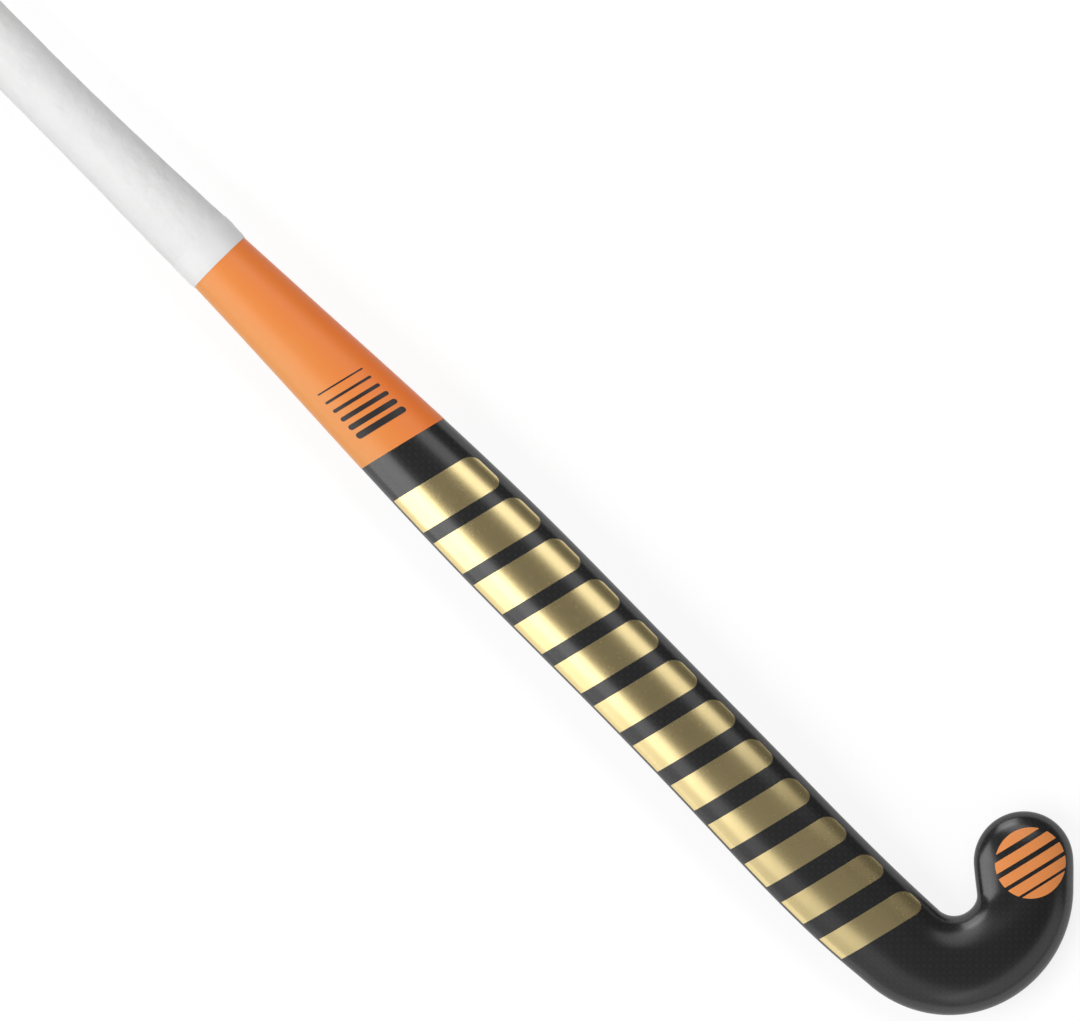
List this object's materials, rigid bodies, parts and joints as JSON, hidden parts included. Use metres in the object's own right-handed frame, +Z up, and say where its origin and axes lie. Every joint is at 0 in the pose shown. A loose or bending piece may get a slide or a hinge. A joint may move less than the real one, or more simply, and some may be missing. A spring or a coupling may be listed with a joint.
{
  "type": "field hockey stick",
  "caption": "Composite field hockey stick with a hooked head, a bowed flat-faced shaft with a rounded back, and a pale wrapped handle with an end cap.",
  "frame": {"origin": "bottom centre of the bounding box, with the stick lying on its playing face", "axes": "+X from the handle to the head, +Y to the toe side, +Z up out of the rounded back"},
  "size_m": [0.927, 0.1192, 0.0467],
  "materials": {
    "carbon_laminate": "satin clear coat over carbon weave, with an orange upper band and gold stripes",
    "inner_laminate": "bare fibre laminate",
    "core_filling": "raw filling",
    "handle_foam": "raw foam",
    "white_grip": "matte synthetic leather, off-white",
    "white_tape": "satin white",
    "cap_rubber": "matte black"
  },
  "bodies": {
    "root": {"composite_shell": "carbon_laminate", "head_core": "core_filling", "toe_side_tube": "inner_laminate", "heel_side_tube": "inner_laminate", "toe_side_foam": "handle_foam", "heel_side_foam": "handle_foam", "end_cap": "cap_rubber", "grip_wrap": "white_grip", "finishing_tape": "white_tape"}
  },
  "joints": []
}
